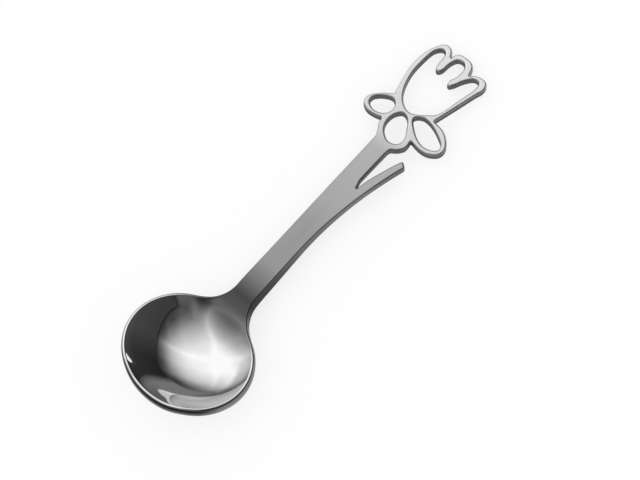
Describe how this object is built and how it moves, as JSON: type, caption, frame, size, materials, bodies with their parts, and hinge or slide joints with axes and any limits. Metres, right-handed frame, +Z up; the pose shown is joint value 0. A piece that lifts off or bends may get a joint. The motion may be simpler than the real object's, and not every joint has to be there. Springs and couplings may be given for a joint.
{
  "type": "sugar ladle",
  "caption": "Small steel ladle with a shallow oval bowl, a flat flaring handle with a side leaf, and a cut-out tulip at its end.",
  "frame": {"origin": "centre of the footprint, on the surface that the ladle rests on", "axes": "+X from the bowl along the handle to the tulip, +Z up, as the ladle lies on a table"},
  "size_m": [0.136, 0.0392, 0.0113],
  "materials": {
    "steel": "polished"
  },
  "bodies": {
    "root": {"bowl": "steel", "neck": "steel", "handle": "steel", "stem": "steel", "side_leaf": "steel", "leaf_whorl": "steel", "tulip_cup": "steel"}
  },
  "joints": []
}
